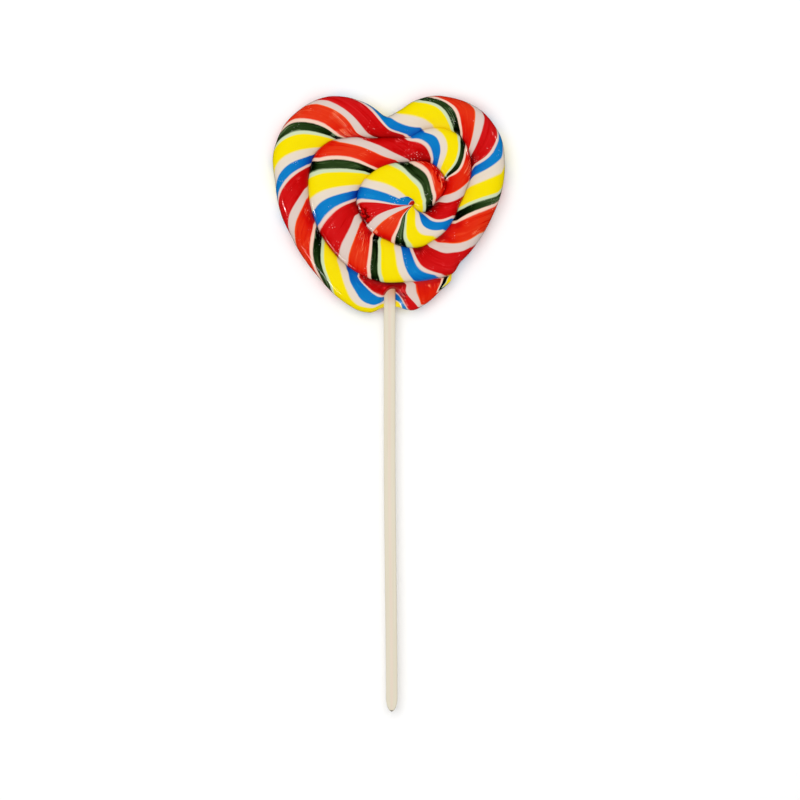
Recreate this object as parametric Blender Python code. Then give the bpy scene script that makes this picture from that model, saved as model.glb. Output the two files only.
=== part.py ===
"""Heart-shaped swirl lollipop: one pulled-sugar rope coiled on itself and fused, on a flat wooden stick.

It lies on its back with the shown side up. Lengths are in millimetres and are turned into metres where
a mesh is made. A bearing is an angle round the core of the coil: 0 points down the stick, and it grows
clockwise as seen from above. The rope starts at the tail and winds inwards, so a bearing past 330
degrees is on the second turn and one past 690 degrees on the third.
"""
import math

import bmesh
import bpy
from mathutils import Matrix, Vector

MM = 0.001

# Rope edge: bearing in degrees, distance from the core in mm. The first turn is the heart's outline,
# and each later turn is the crease between that turn and the one outside it.
TURN = 360.0
TAIL_BEARING = -30.0
COIL_TURNS = 3.1
ROPE_EDGE = (
    (-30, 25.6), (-27, 27.3), (-19, 28.8), (-8, 32.1), (1, 34.1), (9, 33.3), (16, 34.5), (22, 37.6),
    (29, 38.6), (50, 38.5), (74, 40.5), (86, 42.9), (98, 45.1), (112, 48.7), (121, 49.2), (131, 48.0),
    (141, 45.3), (148, 41.6), (156, 35.9), (164, 29.9), (171, 30.9), (181, 34.0), (195, 36.8),
    (214, 37.9), (230, 36.5), (245, 32.9), (262, 28.9), (285, 25.2), (303, 24.1), (319, 24.0),
    (330, 25.6), (345, 24.9), (360, 24.8), (385, 27.2), (412, 29.4), (440, 32.1), (465, 35.0),
    (477, 35.8), (486, 34.4), (496, 30.4), (510, 25.2), (523, 22.9), (535, 21.9), (549, 24.8),
    (562, 26.8), (572, 27.2), (583, 25.7), (600, 21.9), (616, 17.5), (634, 14.7), (655, 13.8),
    (690, 13.2), (710, 13.8), (750, 14.0), (780, 16.2), (800, 17.6), (820, 18.5), (834, 18.0),
    (853, 16.6), (873, 15.1), (894, 14.1), (920, 14.8), (937, 14.3), (956, 13.0), (968, 10.7),
    (984, 7.3), (1018, 4.6), (1034, 3.2), (1048, 1.4), (1062, 0.5), (1086, 0.0),
)

# Heights above the face it lies on: bearing in degrees, height in mm.
RIM_HEIGHT = 4.9
CORE_TOP = 7.2
CORE_UNDER = 1.2
CROWN_TOP = (
    (-30, RIM_HEIGHT), (-22, 6.4), (-5, 7.2), (15, 7.4), (35, 8.6), (60, 9.4), (130, 9.8), (162, 9.3),
    (215, 9.8), (330, 9.6), (400, 9.9), (480, 10.1), (530, 9.8), (600, 10.2), (700, 10.5), (850, 10.6),
    (960, 10.0), (1086, CORE_TOP),
)
CROWN_UNDER = ((-30, RIM_HEIGHT), (-20, 0.7), (-12, 0.0), (1000, 0.0), (1086, CORE_UNDER))
CREASE_TOP = (
    (330, RIM_HEIGHT), (340, 6.3), (355, 7.2), (420, 7.9), (515, 7.9), (538, 8.9), (556, 8.9), (574, 8.1),
    (690, 8.4), (830, 8.6), (1000, 8.0), (1086, CORE_TOP),
)
CREASE_UNDER = ((330, RIM_HEIGHT), (340, 2.4), (352, 1.5), (1086, CORE_UNDER))

# Section of the rope between its two edges.
CROWN_PLACE = 0.44
OUTER_FULLNESS = 2.5
INNER_FULLNESS = 2.0
UNDER_FULLNESS = 2.2
FLAT_SHARE = 0.45

# Steps of the mesh: round one turn, and over each quarter of the section.
STEPS_PER_TURN = 90
OUTER_STEPS = 5
INNER_STEPS = 4
UNDER_OUTER_STEPS = 3
UNDER_INNER_STEPS = 2

# Stick: places are measured from the core, x to the right and y away from the stick's far end.
STICK_WIDTH = 3.75
STICK_THICKNESS = 2.2
STICK_MIDDLE_HEIGHT = 4.9
STICK_X = -7.6
STICK_FAR_X = -6.9
STICK_FAR_END = -164.3
STICK_LEAN_START = -75.0
STICK_TIP_LENGTH = 4.6
STICK_EDGE_ROUND = 0.35
STICK_HIDDEN_END = -4.0
STICK_GAP = 0.3
SOCKET_MOUTH = -46.0

# Valley that the stick presses into the rope's outer side, from the arch over the stick to the rim.
VALLEY_X = -6.6
VALLEY_ARCH = -26.0
VALLEY_HALF_WIDTH = 5.5
VALLEY_FLOOR_HALF_WIDTH = 1.2
VALLEY_MOUTH = 2.0
ARCH_ROUNDNESS = 0.25

CANDY_COLOUR = (0.64, 0.02, 0.02, 1.0)
WOOD_COLOUR = (0.76, 0.68, 0.56, 1.0)


def clear_objects():
    """Removes whatever the file starts with."""
    for obj in list(bpy.data.objects):
        bpy.data.objects.remove(obj, do_unlink=True)


def smooth_curve(stations):
    """Gives a function that runs smoothly through the stations and never swings past them."""
    places = [station[0] for station in stations]
    values = [station[1] for station in stations]
    last = len(places) - 1
    slopes = [(values[k + 1] - values[k]) / (places[k + 1] - places[k]) for k in range(last)]
    tangents = [0.0] * (last + 1)
    for k in range(1, last):
        if slopes[k - 1] * slopes[k] > 0.0:
            tangents[k] = 2.0 * slopes[k - 1] * slopes[k] / (slopes[k - 1] + slopes[k])

    def value_at(place):
        if place <= places[0]:
            return values[0]
        if place >= places[last]:
            return values[last]
        k = next(k for k in range(last) if place <= places[k + 1])
        span = places[k + 1] - places[k]
        t = (place - places[k]) / span
        rise = values[k + 1] - values[k]
        start_pull = t * (1.0 - t) ** 2 * span * tangents[k]
        end_pull = t * t * (1.0 - t) * span * tangents[k + 1]
        return values[k] + rise * ease(t) + start_pull - end_pull

    return value_at


rope_edge = smooth_curve(ROPE_EDGE)
crown_top = smooth_curve(CROWN_TOP)
crown_under = smooth_curve(CROWN_UNDER)
crease_top = smooth_curve(CREASE_TOP)
crease_under = smooth_curve(CREASE_UNDER)


def ease(share):
    """Goes from 0 to 1 with a soft start and end."""
    share = min(max(share, 0.0), 1.0)
    return share * share * (3.0 - 2.0 * share)


def quarter_round(steps, fullness):
    """Lists (distance from the crown, drop from the crown), both 0 to 1, from an edge to the crown."""
    points = []
    for k in range(steps + 1):
        angle = 0.5 * math.pi * k / steps
        away = abs(math.cos(angle)) ** (2.0 / fullness)
        lift = math.sin(angle) ** (2.0 / fullness)
        points.append((away if k < steps else 0.0, 1.0 - lift if k < steps else 0.0))
    return points


def top_section():
    """Lists (share of the width, drop towards the outer edge, drop towards the inner edge) for the top."""
    rows = []
    for away, drop in quarter_round(OUTER_STEPS, OUTER_FULLNESS):
        rows.append((CROWN_PLACE * (1.0 - away), drop, 0.0))
    for away, drop in reversed(quarter_round(INNER_STEPS, INNER_FULLNESS)[:-1]):
        rows.append((CROWN_PLACE + (1.0 - CROWN_PLACE) * away, 0.0, drop))
    return rows


def under_section():
    """Lists the same for the underside, which is flat between its rounded edges."""
    rows = []
    for away, rise in quarter_round(UNDER_OUTER_STEPS, UNDER_FULLNESS):
        reach = FLAT_SHARE + (1.0 - FLAT_SHARE) * away
        rows.append((CROWN_PLACE * (1.0 - reach), rise, 0.0))
    for away, rise in reversed(quarter_round(UNDER_INNER_STEPS, UNDER_FULLNESS)):
        reach = FLAT_SHARE + (1.0 - FLAT_SHARE) * away
        rows.append((CROWN_PLACE + (1.0 - CROWN_PLACE) * reach, 0.0, rise))
    return rows


def stick_valley(x, y, height):
    """Lowers a point of the candy's top towards the rim's height where the stick presses in."""
    sideways = abs(x - VALLEY_X)
    reach = (VALLEY_HALF_WIDTH - sideways) / (VALLEY_HALF_WIDTH - VALLEY_FLOOR_HALF_WIDTH)
    along = (VALLEY_ARCH - ARCH_ROUNDNESS * sideways ** 2 - y) / VALLEY_MOUTH
    return height + ease(reach) * ease(along) * (RIM_HEIGHT - height)


def candy_point(bearing, row, crown, crease):
    """Places one point of the rope's section at a bearing, in mm from the core."""
    width_share, outer_drop, inner_drop = row
    outer_edge = rope_edge(bearing)
    inner_edge = rope_edge(bearing + TURN)
    reach = outer_edge + (inner_edge - outer_edge) * width_share
    height = crown(bearing)
    height += (crease(bearing) - height) * outer_drop
    height += (crease(bearing + TURN) - height) * inner_drop
    angle = math.radians(bearing)
    return -math.sin(angle) * reach, -math.cos(angle) * reach, height


def add_candy_sheet(bm, rows, crown, crease, is_top):
    """Adds the rope's top or underside as a grid of one column a step and one row a section point."""
    columns = round(COIL_TURNS * STEPS_PER_TURN)
    before = set(bm.verts)
    bmesh.ops.create_grid(bm, x_segments=columns, y_segments=len(rows) - 1, size=1.0)
    for vert in bm.verts:
        if vert in before:
            continue
        column = round((vert.co.x + 1.0) * 0.5 * columns)
        row = rows[round((vert.co.y + 1.0) * 0.5 * (len(rows) - 1))]
        bearing = TAIL_BEARING + TURN * column / STEPS_PER_TURN
        x, y, height = candy_point(bearing, row, crown, crease)
        if is_top:
            height = stick_valley(x, y, height)
        vert.co = Vector((x, y, height)) * MM


def candy_mesh():
    """Welds the two sheets along the rim and each turn to the next along its crease."""
    bm = bmesh.new()
    add_candy_sheet(bm, top_section(), crown_top, crease_top, True)
    add_candy_sheet(bm, under_section(), crown_under, crease_under, False)
    bmesh.ops.remove_doubles(bm, verts=bm.verts, dist=0.001 * MM)
    bmesh.ops.dissolve_degenerate(bm, edges=bm.edges, dist=0.001 * MM)
    bmesh.ops.triangulate(bm, faces=bm.faces, quad_method="SHORT_EDGE")
    bmesh.ops.recalc_face_normals(bm, faces=bm.faces)
    return bm


def stick_outline(place):
    """Gives the stick's middle and half width at a place along it."""
    lean = ease((STICK_LEAN_START - place) / (STICK_LEAN_START - STICK_FAR_END))
    middle = STICK_X + (STICK_FAR_X - STICK_X) * lean
    from_tip = min((place - STICK_FAR_END) / STICK_TIP_LENGTH, 1.0)
    half_width = 0.5 * STICK_WIDTH * math.sqrt(1.0 - (1.0 - from_tip) ** 2)
    return middle, half_width


def stick_places():
    """Lists the places of the stick's cross lines, close together round the tip."""
    tip_steps = 6
    shaft_steps = 14
    places = []
    for k in range(1, tip_steps + 1):
        angle = 0.5 * math.pi * (k - 0.5) / (tip_steps - 0.5)
        places.append(STICK_FAR_END + STICK_TIP_LENGTH * (1.0 - math.cos(angle)))
    shaft_start = places[-1]
    for k in range(1, shaft_steps + 1):
        places.append(shaft_start + (STICK_HIDDEN_END - shaft_start) * k / shaft_steps)
    return places


def stick_mesh():
    """Lays a narrow grid out along the stick, gives it its thickness and rounds its edges."""
    bm = bmesh.new()
    places = stick_places()
    last = len(places) - 1
    bmesh.ops.create_grid(bm, x_segments=2, y_segments=last, size=1.0)
    bottom = STICK_MIDDLE_HEIGHT - 0.5 * STICK_THICKNESS
    for vert in bm.verts:
        place = places[round((vert.co.y + 1.0) * 0.5 * last)]
        middle, half_width = stick_outline(place)
        vert.co = Vector((middle + vert.co.x * half_width, place, bottom)) * MM
    raised = bmesh.ops.extrude_face_region(bm, geom=bm.faces[:])
    raised_verts = [item for item in raised["geom"] if isinstance(item, bmesh.types.BMVert)]
    bmesh.ops.translate(bm, verts=raised_verts, vec=(0.0, 0.0, STICK_THICKNESS * MM))
    bmesh.ops.recalc_face_normals(bm, faces=bm.faces)
    rims = [edge for edge in bm.edges if edge.calc_face_angle(0.0) > math.radians(60.0)]
    rims = [edge for edge in rims if abs(edge.verts[0].co.z - edge.verts[1].co.z) < 0.01 * MM]
    bmesh.ops.bevel(
        bm, geom=rims, offset=STICK_EDGE_ROUND * MM, segments=2, profile=0.5, affect="EDGES",
        material=-1,
    )
    bmesh.ops.triangulate(bm, faces=bm.faces)
    return bm


def socket_mesh():
    """Makes the stick's place in the candy: a plain block with the gap all round."""
    bm = bmesh.new()
    end = STICK_HIDDEN_END + STICK_GAP
    size = Vector((STICK_WIDTH + 2.0 * STICK_GAP, end - SOCKET_MOUTH, STICK_THICKNESS + 2.0 * STICK_GAP))
    centre = Vector((STICK_X, 0.5 * (SOCKET_MOUTH + end), STICK_MIDDLE_HEIGHT))
    place = Matrix.Translation(centre * MM) @ Matrix.Diagonal((size * MM).to_4d())
    bmesh.ops.create_cube(bm, size=1.0, matrix=place)
    return bm


def principled(name, colour, roughness, coat):
    """Makes a plain material of one colour."""
    material = bpy.data.materials.new(name)
    material.use_nodes = True
    shader = material.node_tree.nodes["Principled BSDF"]
    shader.inputs["Base Color"].default_value = colour
    shader.inputs["Roughness"].default_value = roughness
    shader.inputs["Metallic"].default_value = 0.0
    shader.inputs["Coat Weight"].default_value = coat
    return material


def add_object(name, bm, material=None):
    """Turns a bmesh into a named object, shaded smooth except at sharp edges."""
    mesh = bpy.data.meshes.new(name)
    bm.to_mesh(mesh)
    bm.free()
    mesh.shade_smooth()
    mesh.set_sharp_from_angle(angle=math.radians(50.0))
    if material is not None:
        mesh.materials.append(material)
    obj = bpy.data.objects.new(name, mesh)
    bpy.context.scene.collection.objects.link(obj)
    return obj


def cut_socket(candy):
    """Cuts the stick's place out of the candy and keeps the cutter as a hidden guide."""
    cutter = add_object("socket_cutter", socket_mesh())
    cutter.hide_render = True
    cutter.display_type = "WIRE"
    cut = candy.modifiers.new("socket", "BOOLEAN")
    cut.operation = "DIFFERENCE"
    cut.solver = "EXACT"
    cut.object = cutter
    return cutter


def centre_on_box(pieces, guides):
    """Hangs the pieces on an empty that puts the middle of their box, at its lowest face, at the origin."""
    corners = [vert.co for piece in pieces for vert in piece.data.vertices]
    low = Vector([min(corner[axis] for corner in corners) for axis in range(3)])
    high = Vector([max(corner[axis] for corner in corners) for axis in range(3)])
    base = bpy.data.objects.new("lollipop", None)
    bpy.context.scene.collection.objects.link(base)
    base.location = (-0.5 * (low.x + high.x), -0.5 * (low.y + high.y), -low.z)
    for obj in pieces + guides:
        obj.parent = base


def main():
    clear_objects()
    candy = add_object("candy", candy_mesh(), principled("boiled_sugar", CANDY_COLOUR, 0.18, 0.6))
    stick = add_object("stick", stick_mesh(), principled("pale_wood", WOOD_COLOUR, 0.62, 0.0))
    cutter = cut_socket(candy)
    centre_on_box([candy, stick], [cutter])


main()
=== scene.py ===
"""Looks of a heart-shaped swirl lollipop, laid out as an add-on and run as a script.

The rope is laid round its core again on a fine mesh, from the same sizes as the solid it stands for,
and carries the twist of its stripes in a UV map. Lengths are in millimetres until a mesh is made. A
bearing is an angle round the core: 0 points down the stick, and it grows clockwise from above. The
rope starts at the tail and winds inwards, so a bearing past 330 degrees is on its second turn.
"""
import bisect
import math

import bmesh
import bpy
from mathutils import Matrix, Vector, noise


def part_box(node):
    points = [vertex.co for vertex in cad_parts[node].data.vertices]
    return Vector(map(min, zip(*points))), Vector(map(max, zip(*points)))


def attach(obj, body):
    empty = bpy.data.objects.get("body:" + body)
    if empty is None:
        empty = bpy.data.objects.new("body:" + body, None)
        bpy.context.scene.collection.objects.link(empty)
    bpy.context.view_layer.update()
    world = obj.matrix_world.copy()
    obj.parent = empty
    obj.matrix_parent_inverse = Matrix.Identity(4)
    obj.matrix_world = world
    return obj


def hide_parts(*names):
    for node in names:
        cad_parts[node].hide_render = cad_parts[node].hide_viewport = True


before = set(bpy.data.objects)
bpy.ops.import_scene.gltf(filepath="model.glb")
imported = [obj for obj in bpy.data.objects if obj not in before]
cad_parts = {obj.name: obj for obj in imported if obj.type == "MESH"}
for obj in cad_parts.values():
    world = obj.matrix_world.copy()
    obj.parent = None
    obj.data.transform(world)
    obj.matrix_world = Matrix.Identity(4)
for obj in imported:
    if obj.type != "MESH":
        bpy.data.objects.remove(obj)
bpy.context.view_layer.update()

bl_info = {
    "name": "Heart Swirl Lollipop",
    "version": (1, 0, 0),
    "blender": (4, 5, 0),
    "location": "3D View > Sidebar > Lollipop",
    "description": "Coils a striped sugar rope into a heart on a flat wooden stick",
    "category": "Add Mesh",
}

MM = 0.001
MM_PER_CM = 10.0
BODY = "root"

# Rope edge: bearing in degrees, distance from the core in mm. The first turn is the heart's outline,
# and each later turn is the crease between that turn and the one outside it. Points were marked in
# the photograph and turned into bearings and lengths by a program. About half the stations are such
# points, and the others were set between them.
TURN = 360.0
TAIL_BEARING = -30.0
SECOND_TURN = 330.0
LAST_TURN = 726.0
COIL_TURNS = 3.1
CAD_STEPS_PER_TURN = 90
ROPE_EDGE = (
    (-30, 25.6), (-27, 27.3), (-19, 28.8), (-8, 32.1), (1, 34.1), (9, 33.3), (16, 34.5), (22, 37.6),
    (29, 38.6), (50, 38.5), (74, 40.5), (86, 42.9), (98, 45.1), (112, 48.7), (121, 49.2), (131, 48.0),
    (141, 45.3), (148, 41.6), (156, 35.9), (164, 29.9), (171, 30.9), (181, 34.0), (195, 36.8),
    (214, 37.9), (230, 36.5), (245, 32.9), (262, 28.9), (285, 25.2), (303, 24.1), (319, 24.0),
    (330, 25.6), (345, 24.9), (360, 24.8), (385, 27.2), (412, 29.4), (440, 32.1), (465, 35.0),
    (477, 35.8), (486, 34.4), (496, 30.4), (510, 25.2), (523, 22.9), (535, 21.9), (549, 24.8),
    (562, 26.8), (572, 27.2), (583, 25.7), (600, 21.9), (616, 17.5), (634, 14.7), (655, 13.8),
    (690, 13.2), (710, 13.8), (750, 14.0), (780, 16.2), (800, 17.6), (820, 18.5), (834, 18.0),
    (853, 16.6), (873, 15.1), (894, 14.1), (920, 14.8), (937, 14.3), (956, 13.0), (968, 10.7),
    (984, 7.3), (1018, 4.6), (1034, 3.2), (1048, 1.4), (1062, 0.5), (1086, 0.0),
)

# Heights above the face it lies on: bearing in degrees, height in mm.
RIM_HEIGHT = 4.9
CORE_TOP = 7.2
CORE_UNDER = 1.2
CROWN_TOP = (
    (-30, RIM_HEIGHT), (-22, 6.4), (-5, 7.2), (15, 7.4), (35, 8.6), (60, 9.4), (130, 9.8), (162, 9.3),
    (215, 9.8), (330, 9.6), (400, 9.9), (480, 10.1), (530, 9.8), (600, 10.2), (700, 10.5), (850, 10.6),
    (960, 10.0), (1086, CORE_TOP),
)
CROWN_UNDER = ((-30, RIM_HEIGHT), (-20, 0.7), (-12, 0.0), (1000, 0.0), (1086, CORE_UNDER))
CREASE_TOP = (
    (330, RIM_HEIGHT), (340, 6.3), (355, 7.2), (420, 7.9), (515, 7.9), (538, 8.9), (556, 8.9),
    (574, 8.1), (690, 8.4), (830, 8.6), (1000, 8.0), (1086, CORE_TOP),
)
CREASE_UNDER = ((330, RIM_HEIGHT), (340, 2.4), (352, 1.5), (1086, CORE_UNDER))

# Section of the rope between its two edges.
CROWN_PLACE = 0.44
OUTER_FULLNESS = 2.5
INNER_FULLNESS = 2.0
UNDER_FULLNESS = 2.2
FLAT_SHARE = 0.45

# Steps of the fine mesh: round one turn, and over each quarter of the section.
STEPS_PER_TURN = 420
OUTER_STEPS = 17
INNER_STEPS = 20
UNDER_OUTER_STEPS = 9
UNDER_INNER_STEPS = 5
CORE_POINT = 0.02
NO_LENGTH = 1e-6
WELD = 0.00003

# Stripes. Each twist of the rope brings every colour up once. The numbers are the bearings where a
# colour begins on the middle of the rope, twist after twist. These and the swings below are mostly what a
# program printed that tells the photograph's colours apart. Only some were adjusted.
YELLOW_BEGINS = (-29, 42, 114, 182, 251, 375, 462, 572, 712, 852)
GREEN_BEGINS = (-24, 60, 125, 200, 267, 393, 476, 586, 743)
ORANGE_BEGINS = (-19, 70, 132, 208, 279, 402, 487, 594, 759)
CREAM_BEGINS = (-3, 84, 142, 218, 312, 418, 503, 613, 784)
RED_BEGINS = (3, 90, 146, 224, 325, 426, 516, 626, 797)
BLUE_BEGINS = (20, 104, 162, 238, 357, 448, 554, 669, 816)
IVORY_BEGINS = (35, 109, 172, 244, 368, 456, 565, 694, 833)

# The same within one twist: share of it at which a colour begins. Yellow begins it.
MINT_SHARE = 0.163
GREEN_SHARE = 0.195
PEACH_SHARE = 0.266
ORANGE_SHARE = 0.297
AMBER_SHARE = 0.459
CREAM_SHARE = 0.468
RED_SHARE = 0.556
PINK_SHARE = 0.766
BLUE_SHARE = 0.80
IVORY_SHARE = 0.90

# Twists so far beside the stick, and at the rope's end, where the stripes run lengthwise: bearing, twists.
BESIDE_STICK_TWIST = ((9, 0.74), (18, 0.766))
ROPE_END_TWIST = (
    (870, 9.088), (885, 9.118), (900, 9.16), (920, 9.20), (955, 9.245), (968, 9.22), (984, 9.18),
    (1018, 9.12), (1035, 9.09), (1086, 9.04),
)

# How many degrees further on a stripe crosses the middle of the rope: bearing where the stripe is near
# the outer edge, degrees; and how many degrees before, for one near the inner edge.
OUTER_SWING = (
    (-25, -2), (-20, -5), (-14, -4), (-10, -2), (-5, 1), (-2, 6), (3, 13), (5, 16), (7, 20), (9, 24),
    (14, 26), (18, 32), (21, 26), (26, 19), (30, 14), (38, 11), (47, 15), (61, 11), (80, 9), (97, 8),
    (118, 8), (126, 6), (158, 5), (166, 7), (172, 12), (188, 15), (198, 12), (214, 5), (234, 5),
    (242, 2), (250, 1), (264, 3), (273, 8), (296, 19), (310, 18), (345, 14), (362, 7), (386, 8),
    (418, 9), (440, 9), (456, 7), (470, 7), (478, 11), (505, 13), (541, 15), (551, 16), (562, 12),
    (578, 9), (589, 8), (609, 5), (622, 5), (652, 20), (673, 25), (690, 26), (734, 11), (754, 6),
    (779, 6), (789, 9), (817, -1), (830, 3), (841, 13), (860, 20), (885, 0),
)
INNER_SWING = (
    (-26, -3), (-20, -2), (-2, 1), (6, 2), (14, 4), (20, 9), (25, 19), (33, 21), (37, 19), (44, 11),
    (52, 12), (68, 9), (92, 9), (110, 7), (129, 5), (133, 2), (142, 0), (148, 2), (173, 13), (184, 14),
    (192, 12), (207, 8), (228, 5), (238, 0), (252, 1), (274, 8), (293, 15), (325, 15), (337, 14),
    (362, 6), (373, 6), (382, 8), (403, 12), (428, 12), (438, 14), (454, 7), (468, 7), (484, 9),
    (493, 7), (516, 15), (531, 18), (563, 11), (570, 6), (588, 2), (594, -2), (613, 0), (623, -3),
    (650, 3), (672, 3), (685, -11), (702, -12), (756, 29), (766, 16), (786, 3), (804, 8), (811, -10),
    (833, 0), (859, 10), (878, 12), (885, 0),
)

# The swings hold out to this far from the rope's middle. Beyond it a stripe swings on, more at the rim
# than in a crease. One rule gives way to the other where the outer turn ends.
SWING_REACH = math.asin(0.8)
RIM_SWING = 8.0
CREASE_SWING = 4.0
RIM_ENDS = 320.0
CHANGEOVER = 20.0

# At the rope's end the stripes run lengthwise: bearing, share of a twist from one edge to the other.
END_SWEEP = (
    (855, 0.0), (870, 0.10), (885, 0.20), (905, 0.27), (920, 0.28), (955, 0.35), (968, 0.31),
    (984, 0.24), (1000, 0.20), (1018, 0.15), (1035, 0.07), (1060, 0.02), (1086, 0.0),
)

# Fold where the rope's end lies over the core: bearing, distance from the core in mm. Inside it the
# stripes of the turn below show: distance from the core in mm, twists.
FOLD_EDGE = (
    (812, 5.2), (836, 4.8), (850, 3.9), (860, 3.5), (870, 3.05), (880, 2.4), (900, 1.7), (948, 0.6),
    (975, 0.0),
)
FOLD_RISES_FROM = 855.0
FOLD_RISE_SPAN = 15.0
FOLD_TWIST = ((0.0, 8.66), (1.15, 8.70), (1.4, 8.81), (3.5, 8.87), (5.2, 8.895))

# The fold's step up and down in mm, how far that spreads, how near the core it dies away, and the place
# inside the fold that stands for anywhere outside it.
FOLD_STEP = 0.35
FOLD_SOFTNESS = 0.9
FOLD_DIES_WITHIN = 0.5
OUTSIDE_FOLD = -1.0

# How strongly painted shade darkens the sugar beside a crease, the fold and the stick, and over how many
# mm that fades.
BESIDE_OUTER_TURN = (0.6, 0.7)
BESIDE_INNER_TURN = (1.0, 1.5)
BESIDE_LAST_TURN = (1.0, 0.5)
BESIDE_FOLD = (0.7, 0.35)
BESIDE_STICK = (0.6, 0.8)

# Low swells of the surface: share of their height, length in mm, and where their noise starts. None
# reach below the still height, so that the back stays flat.
SWELLS = ((1.0, 9.0, 3.0), (0.3, 3.0, 11.0))
STILL_HEIGHT = 0.3

# Places where the sugar's skin is frayed into pale hairs, which partly paint highlights on crinkled sugar,
# and places with shade painted into crumpled folds: middle bearing, share of the width from the outer
# edge, and how far it spreads both ways.
FRAYED_AND_GLINTING = ((6.0, 0.58, 4.0, 0.14), (137.5, 0.88, 7.0, 0.10), (946.0, 0.18, 15.0, 0.12))
CRUMPLED_SHADE = ((6.0, 0.50, 3.0, 0.12), (797.0, 0.05, 11.0, 0.13), (946.0, 0.08, 15.0, 0.09))

# Stick: places are measured from the core, x to the right and y away from the stick's far end.
STICK_WIDTH = 3.75
STICK_THICKNESS = 2.2
STICK_MIDDLE_HEIGHT = 4.9
STICK_X = -7.6
STICK_FAR_X = -6.9
STICK_FAR_END = -164.3
STICK_LEAN_START = -75.0
STICK_TIP_LENGTH = 4.6
STICK_HIDDEN_END = -4.0
STICK_ARCH = -26.0
# Where the wood turns warmer towards the candy, as places along the stick in mm.
WARM_END_START = -34.0
WARM_END_STOP = STICK_ARCH - 1.0

# Mesh of the stick: steps round its tip, along its shaft and across it; edges sharper than this are
# rounded where both ends lie level, to within so many mm.
TIP_STEPS = 18
SHAFT_STEPS = 60
CROSS_STEPS = 4
ROUNDING_STEPS = 4
SHARP_EDGE = math.radians(60.0)
LEVEL = 0.01

# Darker line round the tip, partly end grain and partly painted shade on its rounded edge: how tightly it
# keeps to the stick's sides, its width at the very end in mm, and how far it goes round the tip.
TIP_LINE_TIGHTNESS = 8
TIP_LINE_WIDTH = 0.5
TIP_LINE_LENGTH = 0.7 * STICK_TIP_LENGTH

# Valley that the stick presses into the rope's outer side, from the arch over the stick to the rim. It
# drags the stripes along: share of a twist to the left of the stick and to its right. To the right it
# also pinches the first pale stripe away.
VALLEY_X = -6.6
VALLEY_HALF_WIDTH = 5.5
VALLEY_FLOOR_HALF_WIDTH = 1.2
VALLEY_MOUTH = 2.0
ARCH_ROUNDNESS = 0.25
LEFT_DRAG = 0.06
RIGHT_DRAG = 0.08
DRAG_LAG = 1.0
PALE_SKIPPED = 0.10
PALE_SKIP_SOFTNESS = 0.02

# Table and lamps, in metres: the table's half width, the softbox's place and size, and for each lamp that
# draws a glint its name, its place sideways and forwards from the core, and its size.
TABLE_HALF_WIDTH = 1.5
SOFTBOX_PLACE = (-0.10, 0.12, 0.95)
SOFTBOX_SIZE = (0.9, 0.9)
GLINT_HEIGHT = 0.20
GLINTS = (
    ("left_glint", -0.45, -0.10, (0.012, 0.06)), ("right_glint", 0.45, 0.23, (0.02, 0.08)),
    ("near_glint", -0.34, -0.30, (0.20, 0.03)),
)

# Camera: the photograph's frame, measured where the heart is widest, and its middle.
FRAME_WIDTH = 259.76
FRAME_MIDDLE_X = 3.65
FRAME_MIDDLE_Y = 1.14
SENSOR_WIDTH = 36.0


def srgb(red, green, blue):
    """Turns a colour as seen on a screen, 0 to 255, into the linear colour that a shader takes."""
    channels = []
    for value in (red, green, blue):
        share = value / 255.0
        channels.append(share / 12.92 if share <= 0.04045 else ((share + 0.055) / 1.055) ** 2.4)
    return tuple(channels)


def smooth_curve(stations):
    """Gives a function that runs smoothly through the stations and never swings past them."""
    places = [station[0] for station in stations]
    values = [station[1] for station in stations]
    last = len(places) - 1
    slopes = [(values[k + 1] - values[k]) / (places[k + 1] - places[k]) for k in range(last)]
    tangents = [0.0] * (last + 1)
    for k in range(1, last):
        if slopes[k - 1] * slopes[k] > 0.0:
            tangents[k] = 2.0 * slopes[k - 1] * slopes[k] / (slopes[k - 1] + slopes[k])

    def value_at(place):
        if place <= places[0]:
            return values[0]
        if place >= places[last]:
            return values[last]
        k = bisect.bisect_left(places, place) - 1
        span = places[k + 1] - places[k]
        t = (place - places[k]) / span
        rise = values[k + 1] - values[k]
        start_pull = t * (1.0 - t) ** 2 * span * tangents[k]
        end_pull = t * t * (1.0 - t) * span * tangents[k + 1]
        return values[k] + rise * ease(t) + start_pull - end_pull

    return value_at


def ease(share):
    """Goes from 0 to 1 with a soft start and end."""
    share = min(max(share, 0.0), 1.0)
    return share * share * (3.0 - 2.0 * share)


def twist_stations():
    """Lists (bearing, twists so far) for every place where a colour begins on the rope's middle."""
    stations = list(BESIDE_STICK_TWIST)
    for begins, share in (
        (YELLOW_BEGINS, 0.0), (GREEN_BEGINS, GREEN_SHARE), (ORANGE_BEGINS, ORANGE_SHARE),
        (CREAM_BEGINS, CREAM_SHARE), (RED_BEGINS, RED_SHARE), (BLUE_BEGINS, BLUE_SHARE),
        (IVORY_BEGINS, IVORY_SHARE),
    ):
        stations += [(bearing, twist + share) for twist, bearing in enumerate(begins)]
    return sorted(stations) + list(ROPE_END_TWIST)


rope_edge = smooth_curve(ROPE_EDGE)
crown_top = smooth_curve(CROWN_TOP)
crown_under = smooth_curve(CROWN_UNDER)
crease_top = smooth_curve(CREASE_TOP)
crease_under = smooth_curve(CREASE_UNDER)
twists = smooth_curve(twist_stations())
outer_swing = smooth_curve(OUTER_SWING)
inner_swing = smooth_curve(INNER_SWING)
end_sweep = smooth_curve(END_SWEEP)
fold_edge = smooth_curve(FOLD_EDGE)
fold_twist = smooth_curve(FOLD_TWIST)


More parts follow.
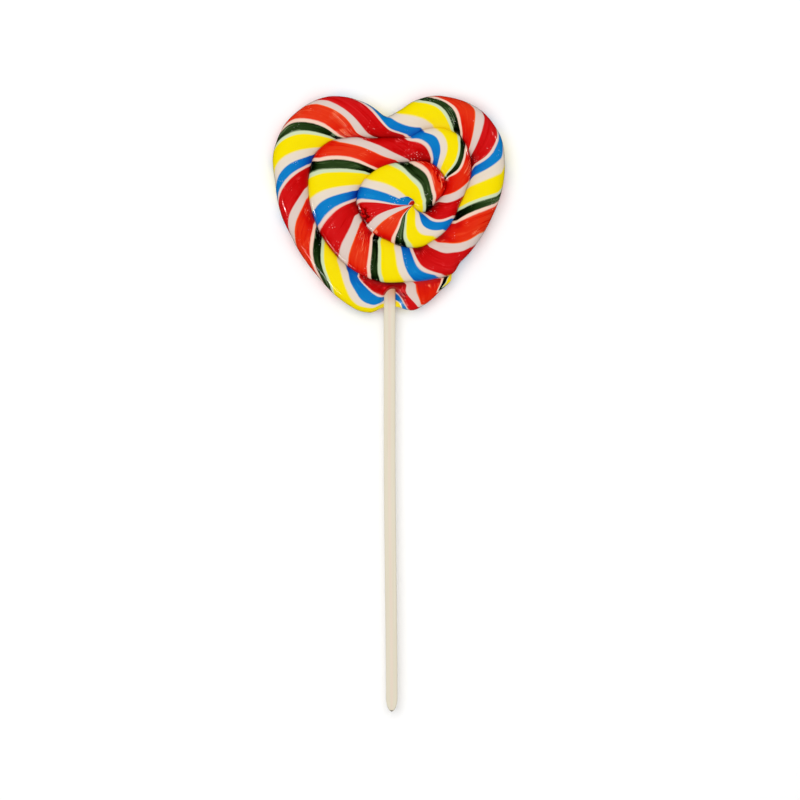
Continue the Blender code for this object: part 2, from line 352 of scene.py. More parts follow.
def core_place():
    """Finds the core of the coil from the solid's box: left edge and top edge, stepped as the solid is."""
    low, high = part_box("candy")
    bearings = [TAIL_BEARING + TURN * k / CAD_STEPS_PER_TURN for k in range(CAD_STEPS_PER_TURN + 1)]
    leftwards = max(rope_edge(b) * math.sin(math.radians(b)) for b in bearings)
    upwards = max(-rope_edge(b) * math.cos(math.radians(b)) for b in bearings)
    return Vector((low.x + leftwards * MM, high.y - upwards * MM, low.z))


class Shade:
    """A socket of a material. Plain arithmetic on it adds Math nodes."""

    def __init__(self, finish, socket):
        self.finish = finish
        self.socket = socket

    def __add__(self, other):
        return self.finish.maths("ADD", self, other)

    def __radd__(self, other):
        return self.finish.maths("ADD", other, self)

    def __sub__(self, other):
        return self.finish.maths("SUBTRACT", self, other)

    def __rsub__(self, other):
        return self.finish.maths("SUBTRACT", other, self)

    def __mul__(self, other):
        return self.finish.maths("MULTIPLY", self, other)

    def __pow__(self, other):
        return self.finish.maths("POWER", self, other)


class Finish:
    """A material under construction."""

    def __init__(self, name):
        self.material = bpy.data.materials.new(name)
        self.material.use_nodes = True
        self.tree = self.material.node_tree
        self.tree.nodes.clear()

    def node(self, kind, settings=None, sockets=None, output=0):
        """Adds a node: its settings first, then the values or links of its sockets."""
        made = self.tree.nodes.new(kind)
        for name, value in (settings or {}).items():
            if name == "stops":
                self.set_stops(made.color_ramp, value)
            else:
                setattr(made, name, value)
        for name, value in (sockets or {}).items():
            if isinstance(value, Shade):
                self.tree.links.new(value.socket, made.inputs[name])
            else:
                made.inputs[name].default_value = value
        return Shade(self, made.outputs[output]) if made.outputs else made

    def set_stops(self, ramp, stops):
        """Gives a colour ramp its stops."""
        while len(ramp.elements) > 1:
            ramp.elements.remove(ramp.elements[-1])
        for k, (place, colour) in enumerate(stops):
            element = ramp.elements[0] if k == 0 else ramp.elements.new(place)
            element.position = place
            element.color = (*colour, 1.0)

    def maths(self, operation, first, second=0.0):
        """Adds one Math node."""
        return self.node("ShaderNodeMath", {"operation": operation}, {0: first, 1: second})

    def mix(self, factor, first, second, blend="MIX"):
        """Mixes two colours."""
        sockets = {0: factor}
        for index, colour in ((6, first), (7, second)):
            sockets[index] = colour if isinstance(colour, Shade) else (*colour, 1.0)
        return self.node("ShaderNodeMix", {"data_type": "RGBA", "blend_type": blend}, sockets, 2)

    def step(self, value, low, high, from_value=0.0, to_value=1.0):
        """Goes smoothly from one value to another as the input passes from low to high."""
        sockets = {0: value, 1: low, 2: high, 3: from_value, 4: to_value}
        return self.node("ShaderNodeMapRange", {"interpolation_type": "SMOOTHSTEP"}, sockets)

    def noise(self, vector, scale, detail=2.0, roughness=0.5):
        """Adds a noise texture on the given coordinates."""
        sockets = {"Vector": vector, "Scale": scale, "Detail": detail, "Roughness": roughness}
        return self.node("ShaderNodeTexNoise", {}, sockets)

    def uv_parts(self, name):
        """Splits a UV map into its two values."""
        place = self.node("ShaderNodeUVMap", {"uv_map": name})
        outputs = self.node("ShaderNodeSeparateXYZ", {}, {0: place}).socket.node.outputs
        return Shade(self, outputs[0]), Shade(self, outputs[1])

    def vector(self, x, y, z=0.0):
        """Joins three values into a vector."""
        return self.node("ShaderNodeCombineXYZ", {}, {0: x, 1: y, 2: z})

    def bump(self, height, strength, distance):
        """Turns a height into a bumped normal."""
        sockets = {"Height": height, "Strength": strength, "Distance": distance}
        return self.node("ShaderNodeBump", {}, sockets)

    def place(self):
        """Gives a point's place in the object."""
        return self.node("ShaderNodeTexCoord", {}, {}, "Object")

    def mark(self, name):
        """Reads what the mesh marks at a point under this name."""
        return self.node("ShaderNodeAttribute", {"attribute_name": name}, {}, "Fac")

    def close(self, sockets):
        """Adds the Principled shader and the output."""
        shader = self.node("ShaderNodeBsdfPrincipled", {}, sockets)
        self.node("ShaderNodeOutputMaterial", {}, {"Surface": shader})
        return self.material


def quarter_round(steps, fullness):
    """Lists (distance from the crown, drop from the crown), both 0 to 1, from an edge to the crown."""
    points = []
    for k in range(steps):
        angle = 0.5 * math.pi * k / steps
        away = math.cos(angle) ** (2.0 / fullness)
        points.append((away, 1.0 - math.sin(angle) ** (2.0 / fullness)))
    return points + [(0.0, 0.0)]


def top_section():
    """Lists (share of the width, drop towards the outer edge, drop towards the inner edge) for the top."""
    rows = []
    for away, drop in quarter_round(OUTER_STEPS, OUTER_FULLNESS):
        rows.append((CROWN_PLACE * (1.0 - away), drop, 0.0))
    for away, drop in reversed(quarter_round(INNER_STEPS, INNER_FULLNESS)[:-1]):
        rows.append((CROWN_PLACE + (1.0 - CROWN_PLACE) * away, 0.0, drop))
    return rows


def under_section():
    """Lists the same for the underside, which is flat between its rounded edges."""
    rows = []
    for away, rise in quarter_round(UNDER_OUTER_STEPS, UNDER_FULLNESS):
        reach = FLAT_SHARE + (1.0 - FLAT_SHARE) * away
        rows.append((CROWN_PLACE * (1.0 - reach), rise, 0.0))
    for away, rise in reversed(quarter_round(UNDER_INNER_STEPS, UNDER_FULLNESS)):
        reach = FLAT_SHARE + (1.0 - FLAT_SHARE) * away
        rows.append((CROWN_PLACE + (1.0 - CROWN_PLACE) * reach, 0.0, rise))
    return rows


def place_round_core(bearing, reach):
    """Turns a bearing and a distance from the core into x and y."""
    angle = math.radians(bearing)
    return -math.sin(angle) * reach, -math.cos(angle) * reach


def valley_share(x, y):
    """Tells how deep a point lies in the stick's valley: 0 outside it, 1 on its floor."""
    sideways = abs(x - VALLEY_X)
    reach = (VALLEY_HALF_WIDTH - sideways) / (VALLEY_HALF_WIDTH - VALLEY_FLOOR_HALF_WIDTH)
    along = (STICK_ARCH - ARCH_ROUNDNESS * sideways ** 2 - y) / VALLEY_MOUTH
    return ease(reach) * ease(along)


def fold_relief(bearing, reach):
    """Lifts the rope's end at the fold over the core, and sinks what it covers."""
    edge = fold_edge(bearing) if bearing > FOLD_RISES_FROM else 0.0
    beyond = reach - edge
    fade = ease(edge) * ease((bearing - FOLD_RISES_FROM) / FOLD_RISE_SPAN)
    if beyond > 0.0:
        return FOLD_STEP * fade * math.exp(-beyond / FOLD_SOFTNESS)
    return -FOLD_STEP * fade * math.exp(beyond / FOLD_SOFTNESS)


def stripe_shift(bearing, share):
    """Tells how many degrees further on a point's stripe crosses the middle of the rope."""
    across = math.asin(1.0 - 2.0 * share) / SWING_REACH
    near, far = outer_swing(bearing), inner_swing(bearing)
    if across < 0.0:
        near, far = far, near
    way = abs(across)
    if way < 1.0:
        shift = near * way + 0.5 * (far - near) * way * (1.0 - way) ** 2
    elif across > 0.0:
        inside = ease((bearing - RIM_ENDS) / CHANGEOVER)
        shift = near + (way - 1.0) * (RIM_SWING + (CREASE_SWING - RIM_SWING) * inside)
    else:
        shift = near + (way - 1.0) * CREASE_SWING
    return math.copysign(1.0, across) * shift


def stripe_phase(bearing, share):
    """Counts the twists at a point of the top, which tell its colour."""
    outer_edge = rope_edge(bearing)
    reach = outer_edge + (rope_edge(bearing + TURN) - outer_edge) * share
    phase = twists(bearing + stripe_shift(bearing, share)) + end_sweep(bearing) * (0.5 - share)
    x, y = place_round_core(bearing, reach)
    right = ease(0.5 + (x - STICK_X) / STICK_WIDTH)
    valley = valley_share(x, y + DRAG_LAG)
    phase += (LEFT_DRAG + (RIGHT_DRAG - LEFT_DRAG) * right) * valley
    skipped = ease(2.0 * right * valley) * ease((phase - IVORY_SHARE) / PALE_SKIP_SOFTNESS)
    return phase + PALE_SKIPPED * skipped


def fold_place(bearing, reach):
    """Gives the twists that show inside the fold, and how far inside it a point lies in mm."""
    inside = min(fold_edge(bearing) - reach, math.radians(bearing - FOLD_EDGE[0][0]) * reach)
    return fold_twist(reach), max(inside, OUTSIDE_FOLD)


def rope_column(bearing, rows, crown, crease, is_top):
    """Lists the section's points at one bearing, first the distance from the core, then the height."""
    outer_edge = rope_edge(bearing)
    inner_edge = rope_edge(bearing + TURN)
    crown_height = crown(bearing)
    outer_fall = crease(bearing) - crown_height
    inner_fall = crease(bearing + TURN) - crown_height
    points = []
    for share, outer_drop, inner_drop in rows:
        reach = outer_edge + (inner_edge - outer_edge) * share
        height = crown_height + outer_fall * outer_drop + inner_fall * inner_drop
        if is_top:
            height += fold_relief(bearing, reach) * ease(reach / FOLD_DIES_WITHIN)
            height += valley_share(*place_round_core(bearing, reach)) * (RIM_HEIGHT - height)
        if reach < CORE_POINT:
            reach, height = 0.0, CORE_TOP if is_top else CORE_UNDER
        points.append((reach, height))
    return points


def column_phases(bearing, rows, points, is_top):
    """Lists the twists at each point of one section. Over the top and under add up to one twist."""
    if is_top:
        return [stripe_phase(bearing, row[0]) for row in rows]
    walked = [0.0]
    for (reach, height), (next_reach, next_height) in zip(points, points[1:]):
        walked.append(walked[-1] + math.hypot(next_reach - reach, next_height - height))
    whole = max(walked[-1], NO_LENGTH)
    outer = stripe_phase(bearing, 0.0)
    inner = stripe_phase(bearing, 1.0) + 1.0
    return [outer + (inner - outer) * distance / whole for distance in walked]


def fading(strength_and_spread, distance):
    """Tells what is left of a strength at a distance in mm."""
    strength, spread = strength_and_spread
    return strength * math.exp(-distance / spread)


# The closeness sets the shade painted into the sugar beside creases, the fold and the stick.
def crease_closeness(bearing, share, reach):
    """Tells how near a point of the top is to a crease: 1 in it, and fading over a millimetre or so."""
    width = rope_edge(bearing) - rope_edge(bearing + TURN)
    inner_fading = BESIDE_INNER_TURN if bearing < LAST_TURN else BESIDE_LAST_TURN
    outer = fading(BESIDE_OUTER_TURN, share * width) * ease((bearing - SECOND_TURN) / CHANGEOVER)
    inner = fading(inner_fading, (1.0 - share) * width)
    fold = 0.0
    if FOLD_RISES_FROM < bearing < FOLD_EDGE[-1][0]:
        fold = fading(BESIDE_FOLD, abs(reach - fold_edge(bearing)))
    x, y = place_round_core(bearing, reach)
    from_stick = max(abs(x - STICK_X) - 0.5 * STICK_WIDTH, 0.0)
    return max(outer, inner, fold, fading(BESIDE_STICK, from_stick) * valley_share(x, y))


def marked_share(marks, bearing, share):
    """Tells how strongly one of the marks covers a point of the top, 0 to 1."""
    return max(
        math.exp(-((bearing - middle) / spread) ** 2 - ((share - place) / width) ** 2)
        for middle, place, spread, width in marks
    )


def layer(layers, name):
    """Gives the named layer of a mesh, new if it isn't there yet."""
    return layers.get(name) or layers.new(name)


def add_rope_sheet(bm, rows, crown, crease, is_top):
    """Adds the rope's top or underside as a grid, lays it round the core and gives it its UV map."""
    stripes, fold = (layer(bm.loops.layers.uv, name) for name in ("stripes", "fold"))
    hollow, frayed_and_glinting, crumpled_shade = (
        layer(bm.verts.layers.float, name) for name in ("hollow", "frayed_and_glinting", "crumpled_shade")
    )
    columns = round(COIL_TURNS * STEPS_PER_TURN)
    made = bmesh.ops.create_grid(bm, x_segments=columns, y_segments=len(rows) - 1, size=1.0)
    grid = [[None] * len(rows) for _ in range(columns + 1)]
    for vert in made["verts"]:
        column = round((vert.co.x + 1.0) * 0.5 * columns)
        grid[column][round((vert.co.y + 1.0) * 0.5 * (len(rows) - 1))] = vert
    stripe_places = {}
    fold_places = {}
    length = 0.0
    for column, verts in enumerate(grid):
        bearing = TAIL_BEARING + TURN * column / STEPS_PER_TURN
        points = rope_column(bearing, rows, crown, crease, is_top)
        phases = column_phases(bearing, rows, points, is_top)
        middle_reach = 0.5 * (rope_edge(bearing) + rope_edge(bearing + TURN))
        length += middle_reach * math.radians(TURN / STEPS_PER_TURN)
        for vert, row, (reach, height), phase in zip(verts, rows, points, phases):
            vert.co = Vector((*place_round_core(bearing, reach), height))
            vert[hollow] = crease_closeness(bearing, row[0], reach)
            if is_top:
                vert[frayed_and_glinting] = marked_share(FRAYED_AND_GLINTING, bearing, row[0])
                vert[crumpled_shade] = marked_share(CRUMPLED_SHADE, bearing, row[0])
            stripe_places[vert] = (phase, length / MM_PER_CM)
            fold_places[vert] = fold_place(bearing, reach) if is_top else (0.0, OUTSIDE_FOLD)
    for face in {face for vert in made["verts"] for face in vert.link_faces}:
        for loop in face.loops:
            loop[stripes].uv = stripe_places[loop.vert]
            loop[fold].uv = fold_places[loop.vert]


def roughen(bm, height, wavelength, start):
    """Moves the surface in and out by a soft noise that dies away at the face it lies on."""
    bm.normal_update()
    moves = []
    for vert in bm.verts:
        swell = noise.noise(vert.co / wavelength + Vector((start, 0.0, 0.0)))
        moves.append((vert, vert.normal * (swell * height * ease(vert.co.z - STILL_HEIGHT))))
    for vert, move in moves:
        vert.co += move


def fused_rope(settings):
    """Welds top to underside along the rim, and each turn to the next along its crease."""
    bm = bmesh.new()
    add_rope_sheet(bm, top_section(), crown_top, crease_top, True)
    add_rope_sheet(bm, under_section(), crown_under, crease_under, False)
    bmesh.ops.remove_doubles(bm, verts=bm.verts, dist=WELD)
    bmesh.ops.dissolve_degenerate(bm, edges=bm.edges, dist=WELD)
    bmesh.ops.recalc_face_normals(bm, faces=bm.faces)
    for share, wavelength, start in SWELLS:
        roughen(bm, share * settings.lump_height / MM, wavelength, start)
    if any(not edge.is_manifold for edge in bm.edges):
        raise RuntimeError("The rope's mesh is not closed.")
    place = core_place()
    for vert in bm.verts:
        vert.co = vert.co * MM + place
    return bm


def stick_outline(place):
    """Gives the stick's middle and half width at a place along it."""
    lean = ease((STICK_LEAN_START - place) / (STICK_LEAN_START - STICK_FAR_END))
    middle = STICK_X + (STICK_FAR_X - STICK_X) * lean
    from_tip = min((place - STICK_FAR_END) / STICK_TIP_LENGTH, 1.0)
    half_width = 0.5 * STICK_WIDTH * math.sqrt(1.0 - (1.0 - from_tip) ** 2)
    return middle, half_width


def stick_places():
    """Lists the places of the stick's cross lines, close together round the tip."""
    places = []
    for k in range(1, TIP_STEPS + 1):
        angle = 0.5 * math.pi * (k - 0.5) / (TIP_STEPS - 0.5)
        places.append(STICK_FAR_END + STICK_TIP_LENGTH * (1.0 - math.cos(angle)))
    shaft_start = places[-1]
    for k in range(1, SHAFT_STEPS + 1):
        places.append(shaft_start + (STICK_HIDDEN_END - shaft_start) * k / SHAFT_STEPS)
    return places


def flat_stick(settings):
    """Lays a narrow grid out along the stick, gives it its thickness and rounds its edges."""
    bm = bmesh.new()
    places = stick_places()
    last = len(places) - 1
    bmesh.ops.create_grid(bm, x_segments=CROSS_STEPS, y_segments=last, size=1.0)
    bottom = STICK_MIDDLE_HEIGHT - 0.5 * STICK_THICKNESS
    for vert in bm.verts:
        place = places[round((vert.co.y + 1.0) * 0.5 * last)]
        middle, half_width = stick_outline(place)
        vert.co = Vector((middle + vert.co.x * half_width, place, bottom))
    raised = bmesh.ops.extrude_face_region(bm, geom=bm.faces[:])
    raised_verts = [item for item in raised["geom"] if isinstance(item, bmesh.types.BMVert)]
    bmesh.ops.translate(bm, verts=raised_verts, vec=(0.0, 0.0, STICK_THICKNESS))
    bmesh.ops.recalc_face_normals(bm, faces=bm.faces)
    rims = [edge for edge in bm.edges if edge.calc_face_angle(0.0) > SHARP_EDGE]
    rims = [edge for edge in rims if abs(edge.verts[0].co.z - edge.verts[1].co.z) < LEVEL]
    bmesh.ops.bevel(
        bm, geom=rims, offset=settings.edge_round / MM, segments=ROUNDING_STEPS, profile=0.5,
        affect="EDGES", material=-1,
    )
    mark_wood(bm)
    place = core_place()
    for vert in bm.verts:
        vert.co = vert.co * MM + place
    return bm


def mark_wood(bm):
    """Marks each point of the stick: across the grain, in the darker line round the tip, and near the
    candy.
    """
    across = bm.verts.layers.float.new("across")
    tip = bm.verts.layers.float.new("tip")
    warm_end = bm.verts.layers.float.new("warm_end")
    for vert in bm.verts:
        place = vert.co.y - STICK_FAR_END
        middle, half_width = stick_outline(max(vert.co.y, STICK_FAR_END + LEVEL))
        vert[across] = (vert.co.x - middle) / half_width
        rim = max(min(abs(vert[across]), 1.0) ** TIP_LINE_TIGHTNESS, 1.0 - place / TIP_LINE_WIDTH)
        vert[tip] = rim * ease((TIP_LINE_LENGTH - place) / TIP_LINE_LENGTH)
        vert[warm_end] = ease((vert.co.y - WARM_END_START) / (WARM_END_STOP - WARM_END_START))


def twist_bands(settings):
    """Lists the bands of one twist: where one begins, its colour, how clear it is, how soft its start."""
    return (
        (0.0, settings.yellow, 0.15, 0.010), (MINT_SHARE, settings.mint, 0.1, 0.005),
        (GREEN_SHARE, settings.green, 1.4, 0.005), (PEACH_SHARE, settings.peach, 0.1, 0.004),
        (ORANGE_SHARE, settings.orange, 1.0, 0.005), (AMBER_SHARE, settings.amber, 0.5, 0.005),
        (CREAM_SHARE, settings.cream, 0.2, 0.003), (RED_SHARE, settings.red, 1.0, 0.005),
        (PINK_SHARE, settings.pink, 0.2, 0.005), (BLUE_SHARE, settings.blue, 0.35, 0.005),
        (IVORY_SHARE, settings.ivory, 0.2, 0.005),
    )


def band_stops(bands, channel):
    """Lists a ramp's stops for the bands: each runs flat and meets the next over its soft start."""
    values = [tuple(band[channel]) if channel == 1 else (band[channel],) * 3 for band in bands]
    halfway = tuple(0.5 * (first + last) for first, last in zip(values[0], values[-1]))
    stops = [(0.0, halfway)]
    begins = [band[0] for band in bands] + [1.0]
    softness = [band[3] for band in bands] + [bands[0][3]]
    for k, colour in enumerate(values):
        stops.append((begins[k] + softness[k], colour))
        stops.append((begins[k + 1] - softness[k + 1], colour))
    return stops + [(1.0, halfway)]


def boiled_sugar(settings):
    """Glossy pulled sugar in twisted stripes, streaked lengthwise by the pulling, with painted shade in
    creases.
    """
    finish = Finish("boiled_sugar")
    rope_phase, length = finish.uv_parts("stripes")
    covered_phase, inside_fold = finish.uv_parts("fold")
    covered = finish.step(inside_fold, -0.05, 0.05)
    phase = rope_phase + (covered_phase - rope_phase) * covered
    place = finish.place()
    hollow = finish.mark("hollow")
    frayed_and_glinting = finish.mark("frayed_and_glinting")
    crumpled_shade = finish.mark("crumpled_shade")

    drift = finish.noise(finish.vector(phase * 2.0, length * 0.9), 1.0, 1.0) - 0.5
    ripple = finish.noise(place, 700.0, 2.0) - 0.5
    share = finish.maths("FRACT", phase + drift * 0.012 + ripple * 0.004)
    bands = twist_bands(settings)
    stripes = finish.node("ShaderNodeValToRGB", {"stops": band_stops(bands, 1)}, {0: share})
    clear = finish.node("ShaderNodeValToRGB", {"stops": band_stops(bands, 2)}, {0: share})

    streaks = finish.noise(finish.vector(phase * 46.0, length * 1.3), 1.0, 3.0, 0.6)
    threads = finish.noise(finish.vector(phase * 130.0, length * 2.5), 1.0, 2.0, 0.6)
    clouds = finish.noise(place, 160.0, 2.0)
    light_streaks = finish.step(streaks, 0.54, 0.70) * finish.maths("MAXIMUM", clear - 0.75, 0.0)
    dark_streaks = finish.step(streaks, 0.47, 0.24) * clear
    # Pale hairs near creases and at the frayed places; they partly paint highlights on crinkled sugar.
    hair_and_glint_patches = finish.step(clouds + hollow * 0.3, 0.56, 0.66) * finish.step(hollow, 0.60, 0.30)
    strokes = finish.noise(finish.vector(phase * 60.0, length * 1.5), 1.0, 1.0)
    fine_hairs_and_glints = finish.step(threads, 0.52, 0.62) * hair_and_glint_patches
    long_hairs_and_glints = finish.step(strokes, 0.48, 0.54) * finish.step(frayed_and_glinting, 0.10, 0.50)
    hairs_and_glints = finish.maths("MAXIMUM", fine_hairs_and_glints, long_hairs_and_glints) * clear
    # Shade painted into the crumpled folds of the sugar's skin.
    crumple_shade = finish.step(finish.noise(place, 900.0, 1.0), 0.46, 0.56) * finish.step(crumpled_shade, 0.15, 0.60)
    # Painted shade: darker beside creases, the fold and the stick, in blotches there and in crumpled
    # folds.
    shade_blotches = finish.step(finish.noise(place, 120.0, 1.0), 0.48, 0.62) * hollow
    shade = hollow * 0.25 + (hollow ** 0.6 * (0.35 + clouds * 1.6) + shade_blotches * 2.4) * clear
    shade = (shade + crumple_shade * clear * 3.0) * (1.0 - hairs_and_glints)
    thickness_and_shade = 1.0 + dark_streaks * 0.5 - light_streaks * 0.8 - hairs_and_glints * 0.5 + shade
    thickness_and_shade = finish.maths("MAXIMUM", thickness_and_shade, 0.45)
    deep = finish.node("ShaderNodeGamma", {}, {"Color": stripes, "Gamma": thickness_and_shade})

    # Pale specks of tiny bubbles on the darker colours; they partly paint sparkles too.
    bubble_and_sparkle_cells = finish.node("ShaderNodeTexVoronoi", {"feature": "F1"}, {"Vector": place, "Scale": 1500.0})
    bubble_and_sparkle_patches = finish.step(finish.noise(place, 190.0, 2.0), 0.55, 0.68)
    bubble_and_sparkle_specks = finish.step(bubble_and_sparkle_cells, 0.26, 0.10) * (bubble_and_sparkle_patches * finish.step(deep, 0.55, 0.35))
    speckled_and_sparkled = finish.mix(bubble_and_sparkle_specks * 0.42, deep, (1.0, 0.95, 0.92))

    roughness = 0.04 + streaks * 0.03 + clouds * 0.03 + hollow * 0.16
    relief = streaks * 0.6 + threads * (0.25 + frayed_and_glinting * 1.5) + finish.noise(place, 420.0, 2.0) * 0.4
    normal = finish.bump(relief - bubble_and_sparkle_specks * 0.3, 0.35, 0.00012)
    return finish.close({"Base Color": speckled_and_sparkled, "Roughness": roughness, "IOR": 1.5, "Normal": normal})


def pale_birch(settings):
    """Sanded birch: fine lengthwise grain, pinkish middle, greyer edges, grey tip of end grain and painted
    shade.
    """
    finish = Finish("pale_birch")
    place = finish.place()
    across = finish.mark("across")
    tip = finish.mark("tip")
    warm_end = finish.mark("warm_end")
    along = finish.node("ShaderNodeMapping", {}, {"Vector": place, "Scale": (1500.0, 22.0, 1500.0)})
    broad = finish.node("ShaderNodeMapping", {}, {"Vector": place, "Scale": (420.0, 9.0, 420.0)})
    fibres = finish.noise(along, 1.0, 4.0, 0.6)
    bands = finish.noise(broad, 1.0, 2.0)
    pores = finish.node("ShaderNodeTexVoronoi", {"feature": "F1"}, {"Vector": along, "Scale": 1.6})
    sideways = finish.maths("ABSOLUTE", across + (bands - 0.5) * 0.5)
    stops = (
        (0.10, tuple(settings.heartwood)), (0.50, tuple(settings.wood)), (0.82, tuple(settings.wood)),
        (0.97, tuple(settings.wood_edge)),
    )
    wood = finish.node("ShaderNodeValToRGB", {"stops": stops}, {0: sideways})
    grained = finish.mix(finish.step(fibres, 0.35, 0.75) * 0.14, wood, (0.70, 0.56, 0.40), "MULTIPLY")
    pored = finish.mix(finish.step(pores, 0.16, 0.05) * 0.16, grained, (0.55, 0.42, 0.30), "MULTIPLY")
    # Grey line round the tip: partly darker end grain, partly painted shade on its rounded edge.
    ended = finish.mix(tip * 0.75, pored, (0.40, 0.41, 0.36))
    # Warmer towards the end that goes into the candy, more so on its right side.
    warmed = finish.mix(warm_end * (0.75 + across * 0.35), ended, (0.80, 0.42, 0.27), "MULTIPLY")
    normal = finish.bump(fibres + pores * 0.3, 0.30, 0.00006)
    return finish.close({
        "Base Color": warmed, "Roughness": 0.52 + fibres * 0.16, "IOR": 1.45, "Normal": normal,
    })


def table_top(settings):
    """Plain pale table, with the faintest mottle."""
    finish = Finish("table_top")
    place = finish.place()
    mottle = finish.noise(place, 14.0, 2.0)
    colour = finish.mix(mottle * 0.02, tuple(settings.floor), (0.80, 0.80, 0.80))
    return finish.close({"Base Color": colour, "Roughness": 0.75, "Specular IOR Level": 0.2})


def add_piece(name, bm, material):
    """Turns a bmesh into an object at the origin, shaded smooth, with one material."""
    mesh = bpy.data.meshes.new(name)
    bm.to_mesh(mesh)
    bm.free()
    mesh.shade_smooth()
    mesh.materials.append(material)
    piece = bpy.data.objects.new(name, mesh)
    bpy.context.scene.collection.objects.link(piece)
    return piece


def add_lamp(name, place, target, size, power, in_reflections):
    """Adds one rectangular lamp that looks at a point: it either lights or draws a glint."""
    lamp = bpy.data.lights.new(name, "AREA")
    lamp.shape = "RECTANGLE"
    lamp.size, lamp.size_y = size
    lamp.energy = power
    holder = bpy.data.objects.new(name, lamp)
    bpy.context.scene.collection.objects.link(holder)
    holder.location = place
    holder.rotation_euler = (Vector(target) - Vector(place)).to_track_quat("-Z", "Y").to_euler()
    holder.visible_glossy = in_reflections
    holder.visible_diffuse = not in_reflections
    holder.visible_camera = False


def add_surroundings(brightness):
    """Gives the scene an even pale surrounding light."""
    world = bpy.data.worlds.new("surroundings")
    world.use_nodes = True
    background = world.node_tree.nodes["Background"]
    background.inputs["Color"].default_value = (1.0, 1.0, 1.0, 1.0)
    background.inputs["Strength"].default_value = brightness
    world.cycles_visibility.glossy = False
    bpy.context.scene.world = world


def add_camera(focal_length):
    """Looks straight down on the lollipop, framed as in the photograph."""
    camera = bpy.data.cameras.new("camera")
    camera.sensor_width = SENSOR_WIDTH
    camera.lens = focal_length
    camera.clip_start = 0.01
    holder = bpy.data.objects.new("camera", camera)
    bpy.context.scene.collection.objects.link(holder)
    distance = FRAME_WIDTH * focal_length / SENSOR_WIDTH
    holder.location = (FRAME_MIDDLE_X * MM, FRAME_MIDDLE_Y * MM, (distance + RIM_HEIGHT) * MM)
    bpy.context.scene.camera = holder


def tint(name, description, default):
    """Describes a colour that the panel can change."""
    return bpy.props.FloatVectorProperty(
        name=name, description=description, default=default, subtype="COLOR", min=0.0, max=1.0,
    )


class CandySettings(bpy.types.PropertyGroup):
    """What can be changed about the sugar rope."""

    lump_height: bpy.props.FloatProperty(
        name="Lumps", description="How far the rope's surface swells and sinks", default=0.00012,
        min=0.0, max=0.001, subtype="DISTANCE", unit="LENGTH",
    )
    yellow: tint("Yellow", "Colour of the yellow stripe", srgb(246, 222, 3))
    green: tint("Green", "Colour of the dark green stripe", srgb(41, 62, 27))
    orange: tint("Orange red", "Colour of the orange-red stripe", srgb(227, 53, 22))
    red: tint("Red", "Colour of the red stripe", srgb(209, 22, 24))
    blue: tint("Blue", "Colour of the blue stripe", srgb(12, 125, 196))
    cream: tint("Cream", "Colour of the pale stripe between orange and red", srgb(222, 202, 193))
    ivory: tint("Ivory", "Colour of the pale stripe between blue and yellow", srgb(231, 216, 198))
    mint: tint("Mint", "Colour of the thin line between yellow and green", srgb(206, 219, 180))
    peach: tint("Peach", "Colour of the thin line between green and orange", srgb(241, 207, 187))
    amber: tint("Amber", "Colour of the orange stripe's thin bright edge", srgb(240, 104, 36))
    pink: tint("Pink", "Colour of the thin line between red and blue", srgb(233, 206, 194))


class StickSettings(bpy.types.PropertyGroup):
    """What can be changed about the stick."""

    edge_round: bpy.props.FloatProperty(
        name="Edge round", description="Radius of the stick's long edges", default=0.00035,
        min=0.00005, max=0.0008, subtype="DISTANCE", unit="LENGTH",
    )
    wood: tint("Wood", "Colour of the bare wood", srgb(224, 216, 195))
    heartwood: tint("Middle", "Colour down the middle of the stick", srgb(229, 214, 196))
    wood_edge: tint("Edge", "Colour of the stick's edges", srgb(222, 216, 196))


class StudioSettings(bpy.types.PropertyGroup):
    """What can be changed about the table, the lamps and the camera."""

    focal_length: bpy.props.FloatProperty(
        name="Focal length", description="Focal length of the lens in millimetres", default=250.0,
        min=20.0, max=600.0,
    )
    key_power: bpy.props.FloatProperty(
        name="Softbox", description="Power of the large lamp overhead, in watts", default=6.2, min=0.0,
    )
    glint_power: bpy.props.FloatProperty(
        name="Glints", description="Power of each small lamp that draws the glints, in watts", default=0.4,
        min=0.0,
    )
    surroundings: bpy.props.FloatProperty(
        name="Surroundings", description="Brightness of the even light from all round", default=0.55,
        min=0.0,
    )
    floor: tint("Table", "Colour of the table top", (1.0, 1.0, 1.0))


class LOLLIPOP_OT_add_candy(bpy.types.Operator):
    """Coil the striped sugar rope into a heart"""

    bl_idname = "lollipop.add_candy"
    bl_label = "Coil the rope"

    def execute(self, context):
        settings = context.scene.lollipop_candy
        candy = add_piece("swirl_candy", fused_rope(settings), boiled_sugar(settings))
        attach(candy, BODY)
        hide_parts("candy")
        return {"FINISHED"}


class LOLLIPOP_OT_add_stick(bpy.types.Operator):
    """Add the flat wooden stick"""

    bl_idname = "lollipop.add_stick"
    bl_label = "Add the stick"

    def execute(self, context):
        settings = context.scene.lollipop_stick
        stick = add_piece("flat_stick", flat_stick(settings), pale_birch(settings))
        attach(stick, BODY)
        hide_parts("stick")
        return {"FINISHED"}


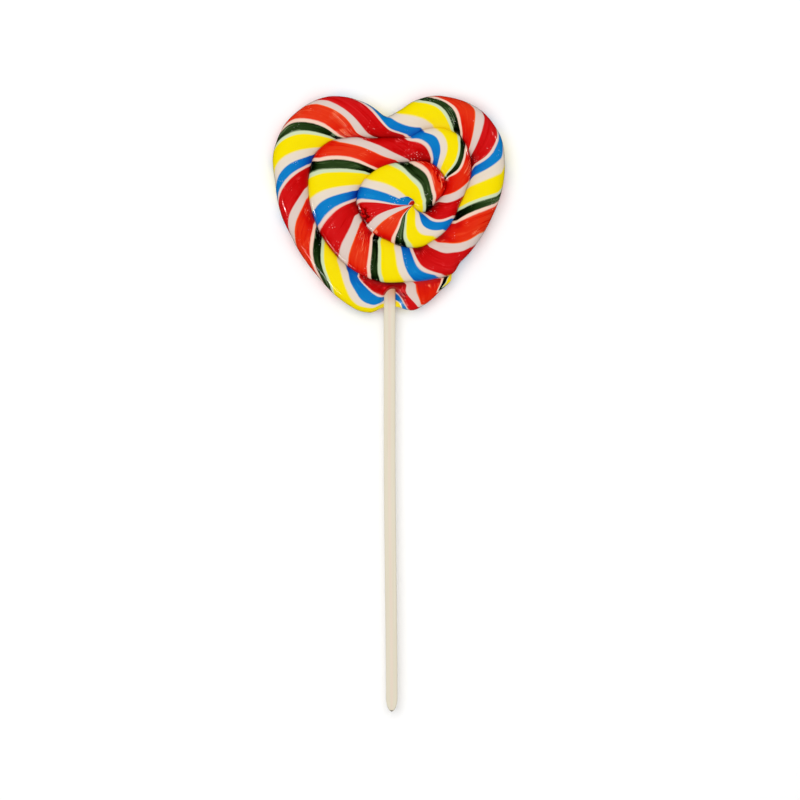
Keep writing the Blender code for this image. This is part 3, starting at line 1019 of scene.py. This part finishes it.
class LOLLIPOP_OT_set_table(bpy.types.Operator):
    """Set the table, the lamps and the camera"""

    bl_idname = "lollipop.set_table"
    bl_label = "Set the table"

    def execute(self, context):
        settings = context.scene.lollipop_studio
        bm = bmesh.new()
        bmesh.ops.create_grid(bm, x_segments=2, y_segments=2, size=TABLE_HALF_WIDTH)
        table = add_piece("table", bm, table_top(settings))
        table.visible_glossy = False
        heart = core_place()
        add_surroundings(settings.surroundings)
        add_lamp("softbox", SOFTBOX_PLACE, heart, SOFTBOX_SIZE, settings.key_power, False)
        for name, sideways, forwards, size in GLINTS:
            place = (heart.x + sideways, heart.y + forwards, GLINT_HEIGHT)
            add_lamp(name, place, heart, size, settings.glint_power, True)
        add_camera(settings.focal_length)
        context.scene.view_settings.view_transform = "Standard"
        return {"FINISHED"}


class LOLLIPOP_PT_panel(bpy.types.Panel):
    """Lists the pieces and what can be changed about them."""

    bl_label = "Lollipop"
    bl_idname = "LOLLIPOP_PT_panel"
    bl_space_type = "VIEW_3D"
    bl_region_type = "UI"
    bl_category = "Lollipop"

    def draw(self, context):
        for settings, operator in (
            (context.scene.lollipop_candy, LOLLIPOP_OT_add_candy),
            (context.scene.lollipop_stick, LOLLIPOP_OT_add_stick),
            (context.scene.lollipop_studio, LOLLIPOP_OT_set_table),
        ):
            box = self.layout.box()
            for name in settings.__annotations__:
                box.prop(settings, name)
            box.operator(operator.bl_idname)


CLASSES = (
    CandySettings, StickSettings, StudioSettings, LOLLIPOP_OT_add_candy, LOLLIPOP_OT_add_stick,
    LOLLIPOP_OT_set_table, LOLLIPOP_PT_panel,
)


def register():
    for cls in CLASSES:
        bpy.utils.register_class(cls)
    bpy.types.Scene.lollipop_candy = bpy.props.PointerProperty(type=CandySettings)
    bpy.types.Scene.lollipop_stick = bpy.props.PointerProperty(type=StickSettings)
    bpy.types.Scene.lollipop_studio = bpy.props.PointerProperty(type=StudioSettings)


def unregister():
    del bpy.types.Scene.lollipop_studio
    del bpy.types.Scene.lollipop_stick
    del bpy.types.Scene.lollipop_candy
    for cls in reversed(CLASSES):
        bpy.utils.unregister_class(cls)


def main():
    register()
    bpy.ops.lollipop.set_table()
    bpy.ops.lollipop.add_candy()
    bpy.ops.lollipop.add_stick()


if __name__ == "__main__":
    main()
